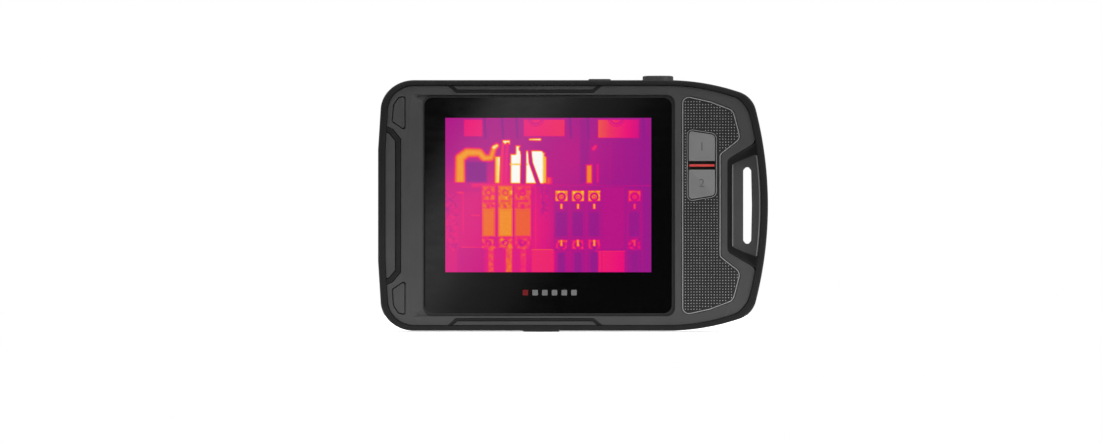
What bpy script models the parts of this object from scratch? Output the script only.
"""Pocket thermal imaging camera: a flat, hand-sized body with a touch screen on its rear face.

The screen faces -Y, the lenses face +Y and +Z is up. The origin is at the bottom centre of the
overall box. Sizes below are in millimetres and the helpers turn them into metres. Heights are
measured from the middle of the body, and depths from the middle of its thickness. GAP is the air
between neighbours, LAP is how far joined solids run into each other, and PAST is how far a cutter
runs past the face that it cuts.
"""

import math

import bmesh
import bpy
from mathutils import Vector

MM = 0.001
WELD = 1e-6
GAP = 0.3
LAP = 0.4
PAST = 1.0

# Body
HALF_WIDTH = 66.34
HALF_HEIGHT = 42.65
FOOT_PROUD = 0.4
MIDDLE_Z = HALF_HEIGHT + FOOT_PROUD
RIM_REAR = -12.0
RIM_FRONT = 11.4
BUMPER_SIDE = 2.4
BUMPER_TOP = 1.8
CASE_SIDE = BUMPER_SIDE + GAP
CASE_TOP = BUMPER_TOP + GAP
WALL = 2.0
TOP_CUT = (HALF_HEIGHT - 5.0, HALF_HEIGHT + 3.0)

# Rounded or chamfered edges
FINE_EDGE = 0.2
SMALL_EDGE = 0.3
COVER_EDGE = 0.4
BUMPER_EDGE = 0.7
FRONT_COVER_EDGE = 0.8

# Outer corners
SIDE_RADIUS = 131.0
SHOULDER_RADIUS = 77.0
SHOULDER_X = 32.0
CORNER_RADIUS = 8.5
LEFT_CORNER = (-54.1, 32.3)
LEFT_CORNER_RADII = (11.4, 10.35)
LEFT_BOW_HEIGHT = 19.0

# Depths of the covers
FACE = -11.3
REAR_INNER = FACE + WALL
REAR_EDGE = -6.3
FRONT_EDGE = -5.3
FRONT_FACE = 10.6
FRONT_INNER = FRONT_FACE - WALL

# Strap notch and slot at the right-hand end
NOTCH_X = 52.2
NOTCH_HALF = 15.9
NOTCH_SLOPE = 0.596
LINING = 1.6
LINING_REAR = -11.6
LINING_SIDES = (1.0, 2.0)
LUG_REAR = -8.5
LUG_RECESS = 1.2
LUG_RECESS_INSET = 1.0
SLOT_X = (58.1, 60.9)
SLOT_HALF = 13.0
SLOT_CHAMFER = 0.9
SLOT_BOW = 0.25
SLOT_END_HALF = 0.4

# Screen
RECESS_X = (-52.0, 34.6)
RECESS_HALF = 37.4
RECESS_FLOOR = -10.4
RECESS_RADIUS = 4.4
RAMP_TOP_X = -55.8
RAMP_FOOT_X = -50.7
RAMP_HALF = 36.5
GLASS_X = (-50.7, 34.3)
GLASS_HALF = 37.0
GLASS_THICKNESS = 0.8
GLASS_RADIUS = 3.6
WINDOW_X = (-47.3, 31.0)
WINDOW_HALF = 34.2
WINDOW_RADIUS = 1.0
LEDGE_REAR = -8.6
LEDGE_FRONT = -7.9
LEDGE_WIDTH = 1.2
GASKET_REAR = -9.3
GASKET_INSET = 0.3
MODULE_X = (-46.9, 30.1)
MODULE_HEIGHTS = (-30.5, 33.4)
PANEL_DEPTHS = (-9.2, -7.4)
BACKLIGHT_DEPTHS = (-7.1, -6.0)
FLEX_X = (2.0, 20.0)
FLEX_FOLD = ((-7.0, -31.6), (-5.4, -32.8), (-4.2, -34.8), (-2.6, -34.8))
FLEX_HALF = 0.12

# Keys
KEY_X = (39.3, 48.3)
KEY_UPPER = ((39.3, 15.1), (48.3, 15.1), (48.3, 24.0), (39.3, 25.4))
KEY_LOWER = ((39.3, 2.0), (48.3, 3.5), (48.3, 12.2), (39.3, 12.2))
KEY_WINDOW = ((38.95, 1.6), (48.65, 3.2), (48.65, 24.3), (38.95, 25.8))
KEY_RADIUS = 0.8
KEY_CLEARANCE = 0.35
KEY_FRONT = -8.5
KEY_FLANGE = 0.7
FLANGE_FRONT = -8.4
DIVIDER_HEIGHTS = (13.1, 14.1)
DIVIDER_INSET = 0.2
DIVIDER_PROUD = 0.4
KEYPAD_X = (37.4, 49.6)
KEYPAD_HEIGHTS = (0.4, 26.4)
MEMBRANE_DEPTHS = (-7.5, -6.9)
KEYPAD_BOARD_DEPTHS = (-6.6, -5.8)

# Grip panel: the corners of its upper half, from the screen side to the notch
GRIP_HALF = ((50.1, 17.33), (56.96, 22.7), (54.45, 32.35), (46.7, 35.3), (37.2, 37.45))
GRIP_RADIUS = 1.3
GRIP_FLOOR = -10.2
GRIP_PROUD = 0.3

# Rubber arms that run in from the bumper over the rear face: path and half width
LEFT_ARM = ((-64.6, 26.5), (-61.9, 25.2), (-59.5, 22.3), (-59.5, -22.3), (-61.9, -25.2), (-64.6, -26.5))
TOP_ARM = ((-42.8, 41.6), (-39.6, 38.85), (6.7, 38.85), (10.3, 41.6))
LEFT_ARM_HALF = 0.9
TOP_ARM_HALF = 0.42
ARM_DEPTH = 1.1
ARM_PROUD = 0.2

# Screws and their plugs
PLUG = ((-61.4, 28.6), (-57.3, 25.9), (-57.3, 36.9), (-59.2, 36.6), (-60.9, 34.2))
PLUG_FLOOR = -9.9
SCREWS = {
    "upper_left": (-59.0, 31.3), "lower_left": (-59.0, -31.3),
    "upper_right": (52.6, 27.5), "lower_right": (52.6, -27.5),
}
SCREW_HEAD = 1.7
SCREW_SHANK = 0.95
SCREW_BOSS = 2.7
SCREW_SEAT = -8.2
SCREW_HEAD_DEPTHS = (-9.6, -8.5)
SCREW_END = -1.2
SCREW_HOLE_END = 0.5

# Seal between the covers: how far its two sides lie inside the case
SEAL_INSETS = (0.6, 1.5)

# Buttons and socket along the edges, and the depth at which they are centred
EDGE_Y = 1.5
SHUTTER_X = 29.05
SHUTTER_RADIUS = 5.25
SHUTTER_PROUD = 1.66
SHUTTER_TRAVEL = 0.9
SHUTTER_DISH = ((0, -0.7), (2.2, -0.5), (3.7, 0), (4.9, 0), (SHUTTER_RADIUS, -0.4))
POWER_X = 9.1
POWER_SIZE = (7.7, 4.6)
POWER_RADIUS = 2.2
POWER_PROUD = 0.6
BUTTON_FLANGE = 0.9
BUTTON_FLANGE_THICKNESS = 0.8
SWITCH_HALF = 2.2
SWITCH_HEIGHT = 1.3
PLUNGER_RADIUS = 1.1
PLUNGER_PROUD = 0.5
TOP_BOARD_X = (3.0, 36.0)
TOP_BOARD_HALF = 4.0
TOP_BOARD_THICKNESS = 1.0
TRIPOD_X = -10.85
FOOT_RADIUS = 6.4
FOOT_ROOT = 0.9
INSERT_RADIUS = 5.0
INSERT_WAIST = 0.5
INSERT_COLLAR = 2.4
INSERT_HOLE = (-MIDDLE_Z - PAST, 10.0 - MIDDLE_Z)
THREAD_RADIUS = 3.175
INSERT_LENGTH = 8.2
TOWER_RADIUS = 6.7
TOWER_HEIGHT = 6.4

# Lens side
LENS = (-10.85, 12.0)
BARREL_RADIUS = 7.8
BARREL_BORE = 6.2
BARREL_REAR = 4.0
BARREL_FRONT = 12.0
BARREL_MOUTH = 0.6
BEZEL_X = (-27.0, 24.0)
BEZEL_HEIGHTS = (-0.5, 24.5)
BEZEL_RADIUS = 8.0
BEZEL_FLOOR = 9.6
BARREL_THROAT = (5.2, 5.8)
SEAL_RING = (5.1, 9.5, 10.0)
RETAINING_RING = (4.7, 10.3, 11.2)
ELEMENT_RADIUS = BARREL_BORE - GAP
FRONT_ELEMENT = (
    (0, 9.5), (2.5, 9.42), (4.8, 9.2), (ELEMENT_RADIUS, 9.2), (ELEMENT_RADIUS, 7.6), (3.6, 7.7), (0, 7.9),
)
REAR_ELEMENT = ((0, 7.3), (3.6, 7.2), (ELEMENT_RADIUS, 6.9), (ELEMENT_RADIUS, 6.1), (4.0, 6.15), (0, 6.3))
CAMERA = (13.0, 17.5)
CAMERA_WINDOW = 3.3
CAMERA_BARREL = 2.9
CAMERA_MODULE_HALF = 4.2
CAMERA_DEPTHS = (4.2, 7.4)
CAMERA_BARREL_DEPTHS = (7.0, 9.4)
CAMERA_WINDOW_DEPTHS = (9.9, 11.1)
TORCH = (13.0, 6.5)
TORCH_HOLE = 2.5
TORCH_LENS = 2.6
TORCH_LENS_DEPTHS = (9.9, 11.2)
LED_RADIUS = 2.1
LED_DEPTHS = (6.6, 9.3)
LED_BASE_RADIUS = 3.2
LED_BASE_DEPTHS = (5.8, 6.9)

# Infrared detector and its calibration shutter, behind the lens
DETECTOR_BOARD_HALVES = (11.5, 10.5)
DETECTOR_BOARD_DEPTHS = (-2.7, -1.7)
DETECTOR_HALF = 5.5
DETECTOR_DEPTHS = (-1.4, 0.5)
HOUSING_X = (-21.5, 6.5)
HOUSING_HEIGHTS = (-1.0, 22.5)
HOUSING_DEPTHS = (0.9, 1.6)
HOUSING_WALL = 0.7
HOUSING_WALL_DEPTHS = (1.3, 3.4)
LIGHT_PATH_RADIUS = 5.0
FLAG_PIVOT = (-2.35, 2.5)
FLAG_SWING = 52.0
FLAG_RADIUS = 5.4
FLAG_DEPTHS = (2.1, 2.5)
FLAG_ARM_HALF = 1.3
FLAG_ARM_DEPTHS = (2.05, 2.55)
FLAG_HUB_RADIUS = 1.7
FLAG_HUB_DEPTHS = (2.0, 3.0)
FLAG_SHAFT_RADIUS = 0.6
FLAG_SHAFT_DEPTHS = (0.6, 2.6)
SHAFT_HOLE_RADIUS = 1.0
MOTOR_RADIUS = 3.0
MOTOR_DEPTHS = (-1.4, 0.3)

# Charging port on the left-hand side; a socket ring is (half thickness, half height)
PORT_Y = EDGE_Y
PORT_SHELL = (1.63, 4.47)
PORT_BORE = (1.3, 4.14)
PORT_BACK = (1.45, 4.3)
PORT_SHELL_X = (-61.2, -54.8)
PORT_BACK_X = (-55.1, -54.2)
PORT_TONGUE_HALVES = (0.35, 3.2)
PORT_TONGUE_X = (-60.6, -54.9)
PORT_HOLE_Y = (-1.6, 4.4)
PORT_HOLE_HALF = 5.4
PORT_HOLE_X = (-66.0, -60.0)
DOOR_Y = (-3.0, 6.0)
DOOR_HALF = 8.0
DOOR_RADIUS = 1.2
DOOR_X = (0.1 - HALF_WIDTH, -64.3)
DOOR_HOLE_X = (-68.0, -62.0)
DOOR_CLEARANCE = 0.5
DOOR_PLUG = (1.0, 3.7)
DOOR_PLUG_X = (-64.6, -61.9)
DOOR_AXIS = (-66.0, 6.35)

# Inner blocks: ranges of x, of depth and of height
MAIN_BOARD = ((-21.5, 35.0), (-4.2, -3.0), (-31.5, 31.5))
PROCESSOR_SHIELD = ((3.0, 31.0), (-2.7, -0.9), (-28.0, -6.0))
BATTERY = ((-52.0, -25.0), (-4.2, 2.6), (-30.0, 30.0))
BATTERY_CONNECTOR = ((-20.5, -14.5), (-2.7, -0.9), (-26.0, -21.0))
PORT_BOARD = ((-61.2, -54.2), (-1.3, -0.5), (-9.0, 9.0))
CHASSIS_X = (-52.5, 35.0)
CHASSIS_HEIGHTS = (-31.5, 35.5)
CHASSIS_RADIUS = 2.0
CHASSIS_DEPTHS = (-5.6, -4.7)
BATTERY_EDGE = 0.8
TRAY_DEPTHS = (-2.0, 2.9, 3.9)
TRAY_HALVES = (31.0, 32.2)
LEAD_ENDS = ((-24.7, -23.5), (-20.8, -23.5))
LEAD_HALF = 1.4
LEAD_DEPTHS = (-2.4, -1.2)

# Sides of a round piece, from large to small
BARREL_STEPS = 28
ROUND_STEPS = 24
LENS_STEPS = 20
SMALL_STEPS = 16
TINY_STEPS = 12

MATERIALS = {
    "shell_plastic": ((0.063, 0.063, 0.064), 0.55, 0.0),
    "bumper_rubber": ((0.019, 0.019, 0.020), 0.70, 0.0),
    "seal_rubber": ((0.03, 0.03, 0.03), 0.80, 0.0),
    "screen_glass": ((0.004, 0.004, 0.005), 0.08, 0.0),
    "display": ((0.35, 0.02, 0.20), 0.30, 0.0),
    "steel": ((0.55, 0.55, 0.56), 0.35, 1.0),
    "grip_rubber": ((0.030, 0.030, 0.031), 0.75, 0.0),
    "key_plastic": ((0.17, 0.17, 0.17), 0.50, 0.0),
    "red_plastic": ((0.60, 0.06, 0.05), 0.40, 0.0),
    "button_plastic": ((0.035, 0.035, 0.036), 0.45, 0.0),
    "circuit_board": ((0.01, 0.12, 0.05), 0.50, 0.0),
    "flex_film": ((0.55, 0.28, 0.05), 0.40, 0.0),
    "magnesium": ((0.48, 0.48, 0.50), 0.45, 1.0),
    "battery_wrap": ((0.12, 0.13, 0.16), 0.40, 0.0),
    "tray_plastic": ((0.05, 0.05, 0.05), 0.60, 0.0),
    "black_metal": ((0.02, 0.02, 0.02), 0.40, 0.6),
    "germanium": ((0.10, 0.05, 0.13), 0.10, 0.9),
    "ceramic_package": ((0.45, 0.42, 0.38), 0.50, 0.0),
    "bezel_gloss": ((0.006, 0.006, 0.007), 0.10, 0.0),
    "clear_lens": ((0.30, 0.32, 0.34), 0.05, 0.0),
    "brass": ((0.70, 0.52, 0.22), 0.30, 1.0),
}


# ---------------------------------------------------------------- scene

def clear_scene():
    for old in list(bpy.data.objects):
        bpy.data.objects.remove(old)


def new_collection(name, shown):
    made = bpy.data.collections.new(name)
    made.hide_render = not shown
    bpy.context.scene.collection.children.link(made)
    return made


def new_material(slot):
    colour, roughness, metallic = MATERIALS[slot]
    made = bpy.data.materials.new(slot)
    made.use_nodes = True
    shader = made.node_tree.nodes["Principled BSDF"]
    shader.inputs["Base Color"].default_value = (*colour, 1.0)
    shader.inputs["Roughness"].default_value = roughness
    shader.inputs["Metallic"].default_value = metallic
    made.diffuse_color = (*colour, 1.0)
    return made


def finish(piece, slot):
    """Gives a part its material, and the shading of a moulded or turned piece."""
    piece.data.materials.clear()
    piece.data.materials.append(bpy.data.materials.get(slot) or new_material(slot))
    piece.data.shade_smooth()
    piece.data.set_sharp_from_angle(angle=math.radians(35))
    return piece


def pivot(name, x, y, height, *pieces):
    """An empty on a joint's axis, with the moving pieces as its children."""
    made = bpy.data.objects.new(name, None)
    made.location = (x * MM, y * MM, (MIDDLE_Z + height) * MM)
    PARTS.objects.link(made)
    bpy.context.view_layer.update()
    for piece in pieces:
        piece.parent = made
        piece.matrix_parent_inverse = made.matrix_world.inverted()


# ---------------------------------------------------------------- outlines

def arc(centre, radii, start, end, steps):
    """Points on an elliptical arc, with its ends, in degrees."""
    turns = [math.radians(start + (end - start) * i / steps) for i in range(steps + 1)]
    return [(centre[0] + radii[0] * math.cos(t), centre[1] + radii[1] * math.sin(t)) for t in turns]


def circle(centre, radius, steps=ROUND_STEPS):
    return arc(centre, (radius, radius), 0, 360 - 360 / steps, steps - 1)


def mirrored(half):
    """A closed outline from its upper half, which runs from right to left."""
    return half + [(x, -h) for x, h in reversed(half) if h > WELD]


def rectangle(xs, heights):
    return [(xs[0], heights[0]), (xs[1], heights[0]), (xs[1], heights[1]), (xs[0], heights[1])]


def mitre(before, here, after, distance):
    """The point at a distance to the right of both edges that meet at a corner."""
    first = (Vector(here) - Vector(before)).normalized()
    second = (Vector(after) - Vector(here)).normalized()
    normal = Vector((first.y + second.y, -first.x - second.x))
    return tuple(Vector(here) + normal * distance / (1 + first.dot(second)))


def grown(outline, distance):
    """A closed anticlockwise outline moved outwards."""
    count = len(outline)
    return [mitre(outline[i - 1], outline[i], outline[(i + 1) % count], distance) for i in range(count)]


def rounded(corners, radius, steps=3):
    """A closed outline with each corner turned into an arc."""
    outline = []
    count = len(corners)
    for i, corner in enumerate(corners):
        here = Vector(corner)
        back = (Vector(corners[i - 1]) - here).normalized()
        ahead = (Vector(corners[(i + 1) % count]) - here).normalized()
        half_turn = back.angle(ahead) / 2
        centre = here + (back + ahead).normalized() * radius / math.sin(half_turn)
        start = here + back * radius / math.tan(half_turn) - centre
        end = here + ahead * radius / math.tan(half_turn) - centre
        for step in range(steps + 1):
            spoke = start.lerp(end, step / steps).normalized() * radius
            outline.append(tuple(centre + spoke))
    return outline


def ribbon(path, half_width):
    """The outline of a band of constant width along an open path."""
    ends = [Vector(path[0]) * 2 - Vector(path[1]), Vector(path[-1]) * 2 - Vector(path[-2])]
    line = [ends[0], *path, ends[1]]
    sides = []
    for shift in (half_width, -half_width):
        sides.append([mitre(line[i - 1], line[i], line[i + 1], shift) for i in range(1, len(line) - 1)])
    return sides[0] + sides[1][::-1]


def flipped(path):
    return [(x, -h) for x, h in path]


def corner_centre():
    """Centre of the right-hand corner arc, which meets the side arc and the shoulder arc smoothly."""
    side = Vector((HALF_WIDTH - SIDE_RADIUS, 0))
    shoulder = Vector((SHOULDER_X, HALF_HEIGHT - SHOULDER_RADIUS))
    side_reach = SIDE_RADIUS - CORNER_RADIUS
    shoulder_reach = SHOULDER_RADIUS - CORNER_RADIUS
    between = shoulder - side
    along = (between.length_squared + side_reach**2 - shoulder_reach**2) / (2 * between.length)
    across = math.sqrt(side_reach**2 - along**2)
    unit = between.normalized()
    return side + unit * along + Vector((-unit.y, unit.x)) * across


def upper_edge(side_inset, top_inset):
    """The upper half of the body's outline, right to left, moved inwards."""
    corner = corner_centre()
    side = Vector((HALF_WIDTH - SIDE_RADIUS, 0))
    shoulder = Vector((SHOULDER_X, HALF_HEIGHT - SHOULDER_RADIUS))
    low = math.degrees(math.atan2(*(corner - side).yx))
    high = math.degrees(math.atan2(*(corner - shoulder).yx))
    stretches = [
        (side, (SIDE_RADIUS, SIDE_RADIUS), 0, low, 4),
        (corner, (CORNER_RADIUS, CORNER_RADIUS), low, high, 5),
        (shoulder, (SHOULDER_RADIUS, SHOULDER_RADIUS), high, 90, 4),
        (LEFT_CORNER, LEFT_CORNER_RADII, 90, 180, 7),
    ]
    edge = []
    for centre, radii, start, end, steps in stretches:
        for x, height in arc(centre, radii, start, end, steps):
            out = Vector((x - centre[0], height - centre[1])).normalized()
            inset = side_inset * out.x**2 + top_inset * out.y**2
            edge.append((x - out.x * inset, height - out.y * inset))
    edge.append((side_inset - HALF_WIDTH, LEFT_BOW_HEIGHT))
    steps = [(Vector(q) - Vector(p)).length for p, q in zip(edge, edge[1:])]
    return edge[:1] + [q for q, step in zip(edge[1:], steps) if step > GAP]


def body_outline(side_inset=0.0, top_inset=0.0):
    return mirrored(upper_edge(side_inset, top_inset))


def split_at_notch(edge, inset):
    """Splits an upper edge where the slanted side of the strap notch crosses it."""
    rise = NOTCH_HALF + inset * math.hypot(1, NOTCH_SLOPE)
    above = [h - rise - (x - NOTCH_X) * NOTCH_SLOPE for x, h in edge]
    first = next(i for i, value in enumerate(above) if value > 0)
    share = above[first - 1] / (above[first - 1] - above[first])
    crossing = tuple(Vector(edge[first - 1]).lerp(Vector(edge[first]), share))
    corner = (NOTCH_X - inset, NOTCH_HALF + inset * (math.hypot(1, NOTCH_SLOPE) - NOTCH_SLOPE))
    return edge[:first] + [crossing, corner], [corner, crossing] + edge[first:]


def case_outline(inset):
    """Outline of the closed case beside the notch, moved inwards."""
    edge = upper_edge(CASE_SIDE + inset, CASE_TOP + inset)
    return mirrored(split_at_notch(edge, inset)[1])


def notch_outline(side_inset, inset):
    """Outline of the strap lug's area; a negative inset makes it smaller than the notch."""
    edge = upper_edge(side_inset, CASE_TOP)
    return mirrored(split_at_notch(edge, inset)[0])


def slot_outline():
    low, high = SLOT_X
    tip = SLOT_HALF - SLOT_CHAMFER
    middle = (low + high) / 2
    end = [(middle + SLOT_END_HALF, SLOT_HALF), (middle - SLOT_END_HALF, SLOT_HALF)]
    return mirrored([(high + SLOT_BOW, 0.0), (high, tip), *end, (low, tip)])


def screen_outline(xs, half, radius, steps=3):
    return rounded(rectangle(xs, (-half, half)), radius, steps)


def grip_outline():
    half = list(GRIP_HALF)
    return rounded([(x, -h) for x, h in reversed(half)] + half, GRIP_RADIUS, 2)


# ---------------------------------------------------------------- solids

def mesh_from_curve(curve):
    """Replaces a curve object with a mesh object of its shape, caps welded."""
    PARTS.objects.link(curve)
    bpy.context.view_layer.update()
    graph = bpy.context.evaluated_depsgraph_get()
    mesh = bpy.data.meshes.new_from_object(curve.evaluated_get(graph))
    shape = bmesh.new()
    shape.from_mesh(mesh)
    bmesh.ops.remove_doubles(shape, verts=shape.verts, dist=WELD)
    shape.to_mesh(mesh)
    shape.free()
    name = curve.name
    matrix = curve.matrix_world.copy()
    bpy.data.objects.remove(curve)
    piece = bpy.data.objects.new(name, mesh)
    piece.matrix_world = matrix
    PARTS.objects.link(piece)
    return piece


def prism(name, outlines, axis, low, high):
    """A flat outline pulled along an axis; every outline after the first is a hole.

    Outlines are (x, height) along Y, (x, y) along Z and (y, height) along X.
    """
    data = bpy.data.curves.new(name, "CURVE")
    data.dimensions = "2D"
    data.fill_mode = "BOTH"
    data.extrude = (high - low) / 2 * MM
    for outline in outlines:
        spline = data.splines.new("POLY")
        spline.points.add(len(outline) - 1)
        for point, (u, v) in zip(spline.points, outline):
            point.co = (u * MM, v * MM, 0, 1)
        spline.use_cyclic_u = True
    curve = bpy.data.objects.new(name, data)
    middle = (low + high) / 2 * MM
    places = {
        "X": ((middle, 0, MIDDLE_Z * MM), (math.pi / 2, 0, math.pi / 2)),
        "Y": ((0, middle, MIDDLE_Z * MM), (math.pi / 2, 0, 0)),
        "Z": ((0, 0, MIDDLE_Z * MM + middle), (0, 0, 0)),
    }
    curve.location, curve.rotation_euler = places[axis]
    return mesh_from_curve(curve)


def cylinder(name, centre, radius, axis, low, high, steps=ROUND_STEPS):
    """A plain round bar along Y at (x, height), or along Z at (x, y)."""
    shape = bmesh.new()
    round_size = {"radius1": radius * MM, "radius2": radius * MM, "depth": (high - low) * MM}
    bmesh.ops.create_cone(shape, cap_ends=True, segments=steps, **round_size)
    mesh = bpy.data.meshes.new(name)
    shape.to_mesh(mesh)
    shape.free()
    return placed(name, mesh, centre, axis, (low + high) / 2)


def placed(name, mesh, centre, axis, along):
    """Links a mesh whose own Z axis lies along Y or Z of the body."""
    piece = bpy.data.objects.new(name, mesh)
    if axis == "Y":
        piece.location = (centre[0] * MM, along * MM, (MIDDLE_Z + centre[1]) * MM)
        piece.rotation_euler = (-math.pi / 2, 0, 0)
    else:
        piece.location = (centre[0] * MM, centre[1] * MM, (MIDDLE_Z + along) * MM)
    PARTS.objects.link(piece)
    return piece


def turned(name, profile, centre, axis="Y", closed=True, steps=ROUND_STEPS):
    """A profile of (radius, position along the axis), running down its outer side, spun about the axis."""
    count = len(profile)
    edges = [(i, i + 1) for i in range(count - 1)] + ([(count - 1, 0)] if closed else [])
    mesh = bpy.data.meshes.new(name)
    mesh.from_pydata([(r * MM, 0, along * MM) for r, along in profile], edges, [])
    piece = placed(name, mesh, centre, axis, 0)
    spin = piece.modifiers.new("turn", "SCREW")
    spin.steps = steps
    spin.render_steps = steps
    spin.use_merge_vertices = True
    spin.merge_threshold = WELD
    return piece


def box(name, xs, ys, heights):
    return prism(name, [rectangle(xs, heights)], "Y", *ys)


def boolean(piece, other, operation):
    modifier = piece.modifiers.new(operation.lower(), "BOOLEAN")
    modifier.operation = operation
    modifier.object = other
    modifier.solver = "EXACT"
    if other.name in PARTS.objects:
        PARTS.objects.unlink(other)
        CUTTERS.objects.link(other)
    other.hide_render = True
    other.display_type = "WIRE"
    return piece


def cut(piece, *cutters):
    for cutter in cutters:
        boolean(piece, cutter, "DIFFERENCE")
    return piece


def join(piece, *others):
    for other in others:
        boolean(piece, other, "UNION")
    return piece


def bevel(piece, width, segments=2):
    modifier = piece.modifiers.new("bevel", "BEVEL")
    modifier.width = width * MM
    modifier.segments = segments
    modifier.limit_method = "ANGLE"
    modifier.angle_limit = math.radians(50)
    return piece


# ---------------------------------------------------------------- covers and bumper

def arm_paths():
    return [
        ("left_arm", LEFT_ARM, LEFT_ARM_HALF),
        ("top_arm", TOP_ARM, TOP_ARM_HALF),
        ("bottom_arm", flipped(TOP_ARM)[::-1], TOP_ARM_HALF),
    ]


def screw_bosses(name, low, high):
    return [
        cylinder(f"{name}_{place}", at, SCREW_BOSS, "Y", low, high, SMALL_STEPS)
        for place, at in SCREWS.items()
    ]


def screen_window():
    return screen_outline(WINDOW_X, WINDOW_HALF, WINDOW_RADIUS, 1)


def ramp_outline():
    """Outline of the gentle ramp at the left of the glass, in (x, depth)."""
    slope = (RAMP_FOOT_X - RAMP_TOP_X) / (RECESS_FLOOR - FACE)
    start = (RAMP_TOP_X - PAST * slope, FACE - PAST)
    return [start, (RAMP_FOOT_X, RECESS_FLOOR), (WINDOW_X[0], RECESS_FLOOR), (WINDOW_X[0], FACE - PAST)]


def make_rear_cover():
    cover = prism("rear_cover", [case_outline(0)], "Y", FACE, REAR_EDGE)
    bevel(cover, COVER_EDGE, 1)
    cut(cover, prism("rear_cavity", [case_outline(WALL)], "Y", REAR_INNER, REAR_EDGE + PAST))
    rim = grown(screen_outline(GLASS_X, GLASS_HALF, GLASS_RADIUS, 2), LEDGE_WIDTH)
    join(cover, prism("screen_ledge", [rim, screen_window()], "Y", REAR_INNER - LAP, LEDGE_FRONT))
    join(cover, *screw_bosses("rear_boss", REAR_INNER - LAP, REAR_EDGE))
    start = FACE - PAST
    recess = screen_outline(RECESS_X, RECESS_HALF, RECESS_RADIUS)
    cutters = [
        prism("screen_recess", [recess], "Y", start, RECESS_FLOOR),
        prism("recess_ramp", [ramp_outline()], "Z", -RAMP_HALF, RAMP_HALF),
        prism("glass_pocket", [grown(glass_outline(), GAP)], "Y", start, LEDGE_REAR),
        prism("screen_window", [screen_window()], "Y", start, LEDGE_FRONT + PAST),
        prism("grip_pocket", [grown(grip_outline(), GAP)], "Y", start, GRIP_FLOOR),
    ]
    for name, outline in (("upper", KEY_UPPER), ("lower", KEY_LOWER)):
        hole = rounded(grown(outline, KEY_CLEARANCE), KEY_RADIUS + KEY_CLEARANCE, 2)
        cutters.append(prism(f"key_hole_{name}", [hole], "Y", start, REAR_INNER + PAST))
    for name, path, half in arm_paths():
        groove = ribbon(path, half + GAP)
        cutters.append(prism(f"{name}_groove", [groove], "Y", start, FACE + ARM_DEPTH + GAP))
    for place, at in SCREWS.items():
        seat = cylinder(f"screw_seat_{place}", at, SCREW_HEAD + GAP, "Y", start, SCREW_SEAT, SMALL_STEPS)
        cutters += [seat, screw_way(f"screw_way_{place}", at, SCREW_SEAT - LAP, REAR_EDGE + PAST)]
    for name, outline in plug_outlines():
        cutters.append(prism(f"{name}_pocket", [grown(outline, GAP)], "Y", start, PLUG_FLOOR))
    cut(cover, *cutters)
    finish(cover, "shell_plastic")


def screw_way(name, at, low, high):
    """A hole for a screw's shank."""
    return cylinder(name, at, SCREW_SHANK + GAP, "Y", low, high, TINY_STEPS)


def shutter_hole(name):
    return cylinder(name, (SHUTTER_X, EDGE_Y), SHUTTER_RADIUS + GAP, "Z", *TOP_CUT)


def power_hole(name):
    return prism(name, [rounded(grown(power_corners(), GAP), POWER_RADIUS + GAP)], "Z", *TOP_CUT)


def insert_hole(name):
    return cylinder(name, (TRIPOD_X, EDGE_Y), INSERT_RADIUS + GAP, "Z", *INSERT_HOLE)


def make_front_cover():
    outline = body_outline(CASE_SIDE, CASE_TOP)
    cover = prism("front_cover", [outline], "Y", FRONT_EDGE, FRONT_FACE)
    bevel(cover, FRONT_COVER_EDGE)
    join(cover, prism("strap_lug", [notch_outline(CASE_SIDE, -GAP)], "Y", LUG_REAR, FRONT_EDGE + PAST))
    cut(cover, prism("front_cavity", [case_outline(WALL)], "Y", FRONT_EDGE - PAST, FRONT_INNER))
    join(cover, *screw_bosses("front_boss", FRONT_EDGE, FRONT_INNER + LAP))
    floor = CASE_TOP - HALF_HEIGHT
    tower = (floor + LAP, floor + TOWER_HEIGHT)
    join(cover, cylinder("tripod_tower", (TRIPOD_X, EDGE_Y), TOWER_RADIUS, "Z", *tower))
    bezel_pocket = rounded(grown(rectangle(BEZEL_X, BEZEL_HEIGHTS), GAP), BEZEL_RADIUS, 4)
    lug_recess = notch_outline(CASE_SIDE + LUG_RECESS, -LINING - LUG_RECESS_INSET)
    port = rounded(rectangle(PORT_HOLE_Y, (-PORT_HOLE_HALF, PORT_HOLE_HALF)), 1.0, 2)
    end = FRONT_FACE + PAST
    start = FRONT_INNER - PAST
    cut(
        cover,
        prism("strap_slot", [slot_outline()], "Y", RIM_REAR - PAST, RIM_FRONT + PAST),
        prism("lug_recess", [lug_recess], "Y", FRONT_FACE - LUG_RECESS, end),
        prism("bezel_pocket", [bezel_pocket], "Y", BEZEL_FLOOR, end),
        cylinder("barrel_hole", LENS, BARREL_RADIUS + GAP, "Y", start, end, BARREL_STEPS),
        cylinder("camera_hole", CAMERA, CAMERA_WINDOW, "Y", start, end, LENS_STEPS),
        cylinder("torch_hole", TORCH, TORCH_HOLE, "Y", start, end, LENS_STEPS),
        shutter_hole("shutter_hole"),
        power_hole("power_hole"),
        insert_hole("insert_hole"),
        prism("port_hole", [port], "X", *PORT_HOLE_X),
    )
    for place, at in SCREWS.items():
        cut(cover, screw_way(f"screw_thread_{place}", at, FRONT_EDGE - PAST, SCREW_HOLE_END))
    finish(cover, "shell_plastic")


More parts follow.
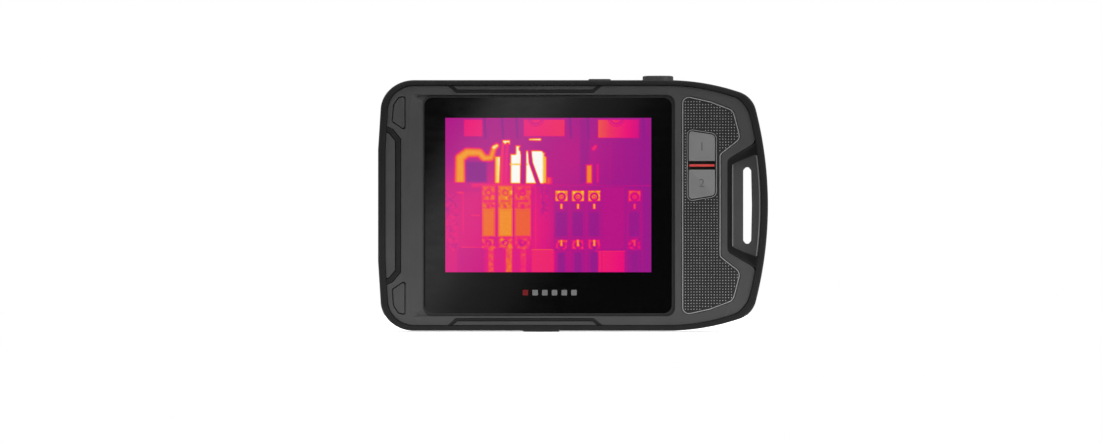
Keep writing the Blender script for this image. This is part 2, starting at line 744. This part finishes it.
def make_bumper():
    ring = [body_outline(), body_outline(BUMPER_SIDE, BUMPER_TOP)]
    bumper = prism("bumper", ring, "Y", RIM_REAR, RIM_FRONT)
    bevel(bumper, BUMPER_EDGE)
    outer, inner = LINING_SIDES
    lining = [notch_outline(outer, -GAP), notch_outline(inner, -GAP - LINING)]
    join(bumper, prism("notch_lining", lining, "Y", LINING_REAR, LUG_REAR - GAP))
    for name, path, half in arm_paths():
        join(bumper, prism(name, [ribbon(path, half)], "Y", FACE - ARM_PROUD, FACE + ARM_DEPTH))
    foot = cylinder("foot", (TRIPOD_X, EDGE_Y), FOOT_RADIUS, "Z", -MIDDLE_Z, FOOT_ROOT - HALF_HEIGHT)
    join(bumper, foot)
    door = rectangle(DOOR_Y, (-DOOR_HALF, DOOR_HALF))
    door_hole = rounded(grown(door, DOOR_CLEARANCE), DOOR_RADIUS + GAP, 2)
    cut(
        bumper,
        shutter_hole("bumper_shutter_hole"),
        power_hole("bumper_power_hole"),
        insert_hole("bumper_insert_hole"),
        prism("door_hole", [door_hole], "X", *DOOR_HOLE_X),
    )
    finish(bumper, "bumper_rubber")


def make_case_seal():
    ring = [case_outline(inset) for inset in SEAL_INSETS]
    seal = prism("case_seal", ring, "Y", REAR_EDGE + GAP, FRONT_EDGE - GAP)
    finish(seal, "seal_rubber")


def plug_outlines():
    lower = [(x, -h) for x, h in reversed(PLUG)]
    return [("screw_plug_upper", list(PLUG)), ("screw_plug_lower", lower)]


def make_screw_plugs():
    for name, outline in plug_outlines():
        plug = prism(name, [outline], "Y", FACE, PLUG_FLOOR - GAP)
        finish(bevel(plug, FINE_EDGE, 1), "shell_plastic")


def make_case_screws():
    top, under = SCREW_HEAD_DEPTHS
    shank = [(0, SCREW_END), (SCREW_SHANK, SCREW_END), (SCREW_SHANK, under)]
    profile = shank + [(SCREW_HEAD, under), (SCREW_HEAD, top), (0, top)]
    for place, at in SCREWS.items():
        finish(turned(f"case_screw_{place}", profile, at, closed=False, steps=SMALL_STEPS), "steel")


# ---------------------------------------------------------------- screen

def glass_outline():
    return screen_outline(GLASS_X, GLASS_HALF, GLASS_RADIUS)


def make_screen():
    glass = prism("cover_glass", [glass_outline()], "Y", RECESS_FLOOR, RECESS_FLOOR + GLASS_THICKNESS)
    finish(glass, "screen_glass")
    ring = [grown(glass_outline(), -GASKET_INSET), screen_window()]
    finish(prism("screen_gasket", ring, "Y", GASKET_REAR, LEDGE_REAR - GAP), "seal_rubber")
    module = rectangle(MODULE_X, MODULE_HEIGHTS)
    finish(prism("lcd_panel", [module], "Y", *PANEL_DEPTHS), "display")
    backlight = prism("lcd_backlight", [module], "Y", *BACKLIGHT_DEPTHS)
    finish(bevel(backlight, FINE_EDGE, 1), "steel")
    finish(prism("display_flex", [ribbon(FLEX_FOLD, FLEX_HALF)], "X", *FLEX_X), "flex_film")


# ---------------------------------------------------------------- grip panel and keys

def make_grip_panel():
    window = rounded(list(KEY_WINDOW), KEY_RADIUS + KEY_CLEARANCE, 2)
    panel = prism("grip_panel", [grip_outline(), window], "Y", FACE - GRIP_PROUD, GRIP_FLOOR - GAP)
    finish(bevel(panel, FINE_EDGE, 1), "grip_rubber")


def make_keys():
    for name, outline in (("key_upper", KEY_UPPER), ("key_lower", KEY_LOWER)):
        key = prism(name, [rounded(list(outline), KEY_RADIUS, 2)], "Y", RIM_REAR, KEY_FRONT)
        bevel(key, SMALL_EDGE, 1)
        flange = grown(outline, KEY_FLANGE)
        join(key, prism(f"{name}_flange", [flange], "Y", REAR_INNER + GAP, FLANGE_FRONT))
        finish(key, "key_plastic")
    bar = rectangle((KEY_X[0] + DIVIDER_INSET, KEY_X[1] - DIVIDER_INSET), DIVIDER_HEIGHTS)
    divider = prism("key_divider", [bar], "Y", FACE - DIVIDER_PROUD, GRIP_FLOOR - GAP)
    finish(bevel(divider, FINE_EDGE, 1), "red_plastic")
    membrane = rounded(rectangle(KEYPAD_X, KEYPAD_HEIGHTS), 1.0, 2)
    finish(prism("keypad_membrane", [membrane], "Y", *MEMBRANE_DEPTHS), "seal_rubber")
    finish(box("keypad_board", KEYPAD_X, KEYPAD_BOARD_DEPTHS, KEYPAD_HEIGHTS), "circuit_board")


# ---------------------------------------------------------------- top buttons

def power_corners():
    half_x, half_y = POWER_SIZE[0] / 2, POWER_SIZE[1] / 2
    return rectangle((POWER_X - half_x, POWER_X + half_x), (EDGE_Y - half_y, EDGE_Y + half_y))


def square(x, y, half):
    return rectangle((x - half, x + half), (y - half, y + half))


def make_top_buttons():
    under = HALF_HEIGHT - CASE_TOP - WALL - GAP
    foot = under - BUTTON_FLANGE_THICKNESS
    top = HALF_HEIGHT + SHUTTER_PROUD
    flange_radius = SHUTTER_RADIUS + BUTTON_FLANGE
    dish = [(radius, top + rise) for radius, rise in SHUTTER_DISH]
    stem = [(SHUTTER_RADIUS, under), (flange_radius, under), (flange_radius, foot), (0, foot)]
    shutter = turned("shutter_button", dish + stem, (SHUTTER_X, EDGE_Y), "Z", closed=False)
    finish(shutter, "button_plastic")
    cap = rounded(power_corners(), POWER_RADIUS)
    power = prism("power_button", [cap], "Z", under - LAP, HALF_HEIGHT + POWER_PROUD)
    bevel(power, SMALL_EDGE, 1)
    flange = rounded(grown(power_corners(), BUTTON_FLANGE), POWER_RADIUS, 2)
    join(power, prism("power_flange", [flange], "Z", foot, under))
    finish(power, "button_plastic")
    switch_top = foot - SHUTTER_TRAVEL - GAP
    body_top = switch_top - PLUNGER_PROUD
    body_low = body_top - SWITCH_HEIGHT
    for name, x in (("shutter_switch", SHUTTER_X), ("power_switch", POWER_X)):
        body = prism(name, [square(x, EDGE_Y, SWITCH_HALF)], "Z", body_low, body_top)
        plunger = (body_top - LAP, switch_top)
        join(body, cylinder(f"{name}_plunger", (x, EDGE_Y), PLUNGER_RADIUS, "Z", *plunger, SMALL_STEPS))
        finish(body, "steel")
    board = rectangle(TOP_BOARD_X, (EDGE_Y - TOP_BOARD_HALF, EDGE_Y + TOP_BOARD_HALF))
    board_top = body_low - GAP
    board_low = board_top - TOP_BOARD_THICKNESS
    finish(prism("top_button_board", [board], "Z", board_low, board_top), "circuit_board")


# ---------------------------------------------------------------- electronics

def make_electronics():
    frame = rounded(rectangle(CHASSIS_X, CHASSIS_HEIGHTS), CHASSIS_RADIUS, 2)
    finish(prism("inner_chassis", [frame], "Y", *CHASSIS_DEPTHS), "magnesium")
    finish(box("main_board", *MAIN_BOARD), "circuit_board")
    finish(bevel(box("processor_shield", *PROCESSOR_SHIELD), SMALL_EDGE, 1), "steel")
    finish(bevel(box("battery", *BATTERY), BATTERY_EDGE), "battery_wrap")
    finish(prism("battery_tray", [tray_outline()], "X", *BATTERY[0]), "tray_plastic")
    finish(box("battery_connector", *BATTERY_CONNECTOR), "tray_plastic")
    lead = ribbon(LEAD_ENDS, LEAD_HALF)
    finish(prism("battery_lead", [lead], "Y", *LEAD_DEPTHS), "battery_wrap")


def tray_outline():
    """Section of the battery's tray, in (depth, height): a floor with a lip at each end."""
    rear, floor, front = TRAY_DEPTHS
    inner, outer = TRAY_HALVES
    return [
        (rear, -outer), (front, -outer), (front, outer), (rear, outer),
        (rear, inner), (floor, inner), (floor, -inner), (rear, -inner),
    ]


def make_charging_port():
    rings = [stadium(PORT_Y, *PORT_SHELL), stadium(PORT_Y, *PORT_BORE)]
    shell = prism("usb_c_port", rings, "X", *PORT_SHELL_X)
    join(shell, prism("port_back", [stadium(PORT_Y, *PORT_BACK)], "X", *PORT_BACK_X))
    half_y, half_height = PORT_TONGUE_HALVES
    tongue = rectangle((PORT_Y - half_y, PORT_Y + half_y), (-half_height, half_height))
    join(shell, prism("port_tongue", [tongue], "X", *PORT_TONGUE_X))
    finish(shell, "steel")
    finish(box("port_board", *PORT_BOARD), "circuit_board")
    door_outline = rounded(rectangle(DOOR_Y, (-DOOR_HALF, DOOR_HALF)), DOOR_RADIUS, 2)
    door = bevel(prism("port_door", [door_outline], "X", *DOOR_X), SMALL_EDGE, 1)
    join(door, prism("door_plug", [stadium(PORT_Y, *DOOR_PLUG)], "X", *DOOR_PLUG_X))
    finish(door, "bumper_rubber")
    pivot("port_door_hinge", *DOOR_AXIS, 0.0, door)


def stadium(y, half_y, half_height):
    """A slot outline with round ends, in (y, height)."""
    rise = half_height - half_y
    return arc((y, rise), (half_y, half_y), 0, 180, 6) + arc((y, -rise), (half_y, half_y), 180, 360, 6)


def make_tripod_insert():
    low = -MIDDLE_Z
    high = low + INSERT_LENGTH
    waist = INSERT_RADIUS - INSERT_WAIST
    collar = INSERT_COLLAR
    slope = INSERT_COLLAR + INSERT_WAIST
    bore_end = high - 1.0
    profile = [
        (0, high), (INSERT_RADIUS, high), (INSERT_RADIUS, high - collar), (waist, high - slope),
        (waist, low + slope), (INSERT_RADIUS, low + collar), (INSERT_RADIUS, low),
        (THREAD_RADIUS + GAP, low), (THREAD_RADIUS, low + GAP), (THREAD_RADIUS, bore_end), (0, bore_end),
    ]
    finish(turned("tripod_insert", profile, (TRIPOD_X, EDGE_Y), "Z", closed=False), "brass")


# ---------------------------------------------------------------- lens side

def make_infrared_lens():
    throat, step = BARREL_THROAT
    barrel = [
        (BARREL_RADIUS - COVER_EDGE, BARREL_FRONT), (BARREL_RADIUS, BARREL_FRONT - COVER_EDGE),
        (BARREL_RADIUS, BARREL_REAR), (throat, BARREL_REAR), (throat, step), (BARREL_BORE, step),
        (BARREL_BORE, BARREL_FRONT - BARREL_MOUTH), (BARREL_BORE + BARREL_MOUTH, BARREL_FRONT),
    ]
    finish(turned("lens_barrel", barrel, LENS, steps=BARREL_STEPS), "black_metal")
    finish(turned("ir_lens_front", FRONT_ELEMENT, LENS, closed=False), "germanium")
    finish(turned("ir_lens_rear", REAR_ELEMENT, LENS, closed=False), "germanium")
    radius = ELEMENT_RADIUS
    inner, low, high = SEAL_RING
    seal = [(radius, high), (radius, low), (inner, low), (inner, high)]
    finish(turned("lens_seal", seal, LENS), "seal_rubber")
    inner, low, high = RETAINING_RING
    ring = [(radius, high), (radius, low), (inner, low), (inner, low + LAP), (inner + LAP, high)]
    finish(turned("lens_retaining_ring", ring, LENS), "black_metal")


def make_detector():
    x, height = LENS
    half_x, half_height = DETECTOR_BOARD_HALVES
    board = rectangle((x - half_x, x + half_x), (height - half_height, height + half_height))
    finish(prism("detector_board", [board], "Y", *DETECTOR_BOARD_DEPTHS), "circuit_board")
    package = prism("detector_package", [square(x, height, DETECTOR_HALF)], "Y", *DETECTOR_DEPTHS)
    finish(bevel(package, SMALL_EDGE, 1), "ceramic_package")


def flag_centre():
    """Centre of the flag's blade while it is parked beside the light path."""
    arm = Vector(LENS) - Vector(FLAG_PIVOT)
    turn = math.radians(FLAG_SWING)
    return Vector(FLAG_PIVOT) + Vector(
        (arm.x * math.cos(turn) + arm.y * math.sin(turn), arm.y * math.cos(turn) - arm.x * math.sin(turn))
    )


def make_calibration_shutter():
    plate = rectangle(HOUSING_X, HOUSING_HEIGHTS)
    holes = [circle(LENS, LIGHT_PATH_RADIUS), circle(FLAG_PIVOT, SHAFT_HOLE_RADIUS, TINY_STEPS)]
    housing = prism("shutter_housing", [plate, *holes], "Y", *HOUSING_DEPTHS)
    wall = [plate, grown(plate, -HOUSING_WALL)]
    join(housing, prism("shutter_wall", wall, "Y", *HOUSING_WALL_DEPTHS))
    finish(housing, "tray_plastic")
    centre = tuple(flag_centre())
    flag = cylinder("shutter_flag", centre, FLAG_RADIUS, "Y", *FLAG_DEPTHS)
    arm = ribbon((FLAG_PIVOT, centre), FLAG_ARM_HALF)
    join(flag, prism("flag_arm", [arm], "Y", *FLAG_ARM_DEPTHS))
    join(flag, cylinder("flag_hub", FLAG_PIVOT, FLAG_HUB_RADIUS, "Y", *FLAG_HUB_DEPTHS, SMALL_STEPS))
    join(flag, cylinder("flag_shaft", FLAG_PIVOT, FLAG_SHAFT_RADIUS, "Y", *FLAG_SHAFT_DEPTHS, TINY_STEPS))
    finish(flag, "black_metal")
    pivot("shutter_flag_pivot", FLAG_PIVOT[0], sum(FLAG_DEPTHS) / 2, FLAG_PIVOT[1], flag)
    finish(cylinder("shutter_motor", FLAG_PIVOT, MOTOR_RADIUS, "Y", *MOTOR_DEPTHS), "steel")


def make_bezel():
    outline = rounded(rectangle(BEZEL_X, BEZEL_HEIGHTS), BEZEL_RADIUS, 4)
    holes = [
        circle(LENS, BARREL_RADIUS + GAP, BARREL_STEPS),
        circle(CAMERA, CAMERA_WINDOW + GAP, LENS_STEPS),
        circle(TORCH, TORCH_LENS + GAP, LENS_STEPS),
    ]
    bezel = prism("lens_bezel", [outline, *holes], "Y", BEZEL_FLOOR + GAP, RIM_FRONT)
    finish(bevel(bezel, SMALL_EDGE, 1), "bezel_gloss")


def make_visible_camera():
    module = prism("visible_camera", [square(*CAMERA, CAMERA_MODULE_HALF)], "Y", *CAMERA_DEPTHS)
    join(module, cylinder("camera_barrel", CAMERA, CAMERA_BARREL, "Y", *CAMERA_BARREL_DEPTHS, LENS_STEPS))
    finish(module, "tray_plastic")
    finish(cylinder("camera_window", CAMERA, CAMERA_WINDOW, "Y", *CAMERA_WINDOW_DEPTHS), "clear_lens")


def make_torch():
    led = cylinder("torch_led", TORCH, LED_RADIUS, "Y", *LED_DEPTHS, SMALL_STEPS)
    join(led, cylinder("led_base", TORCH, LED_BASE_RADIUS, "Y", *LED_BASE_DEPTHS, SMALL_STEPS))
    finish(led, "ceramic_package")
    finish(cylinder("torch_lens", TORCH, TORCH_LENS, "Y", *TORCH_LENS_DEPTHS), "clear_lens")


clear_scene()
PARTS = new_collection("thermal_imaging_camera", True)
CUTTERS = new_collection("cutters", False)
make_rear_cover()
make_front_cover()
make_bumper()
make_case_seal()
make_screw_plugs()
make_case_screws()
make_screen()
make_grip_panel()
make_keys()
make_top_buttons()
make_electronics()
make_charging_port()
make_tripod_insert()
make_infrared_lens()
make_detector()
make_calibration_shutter()
make_bezel()
make_visible_camera()
make_torch()
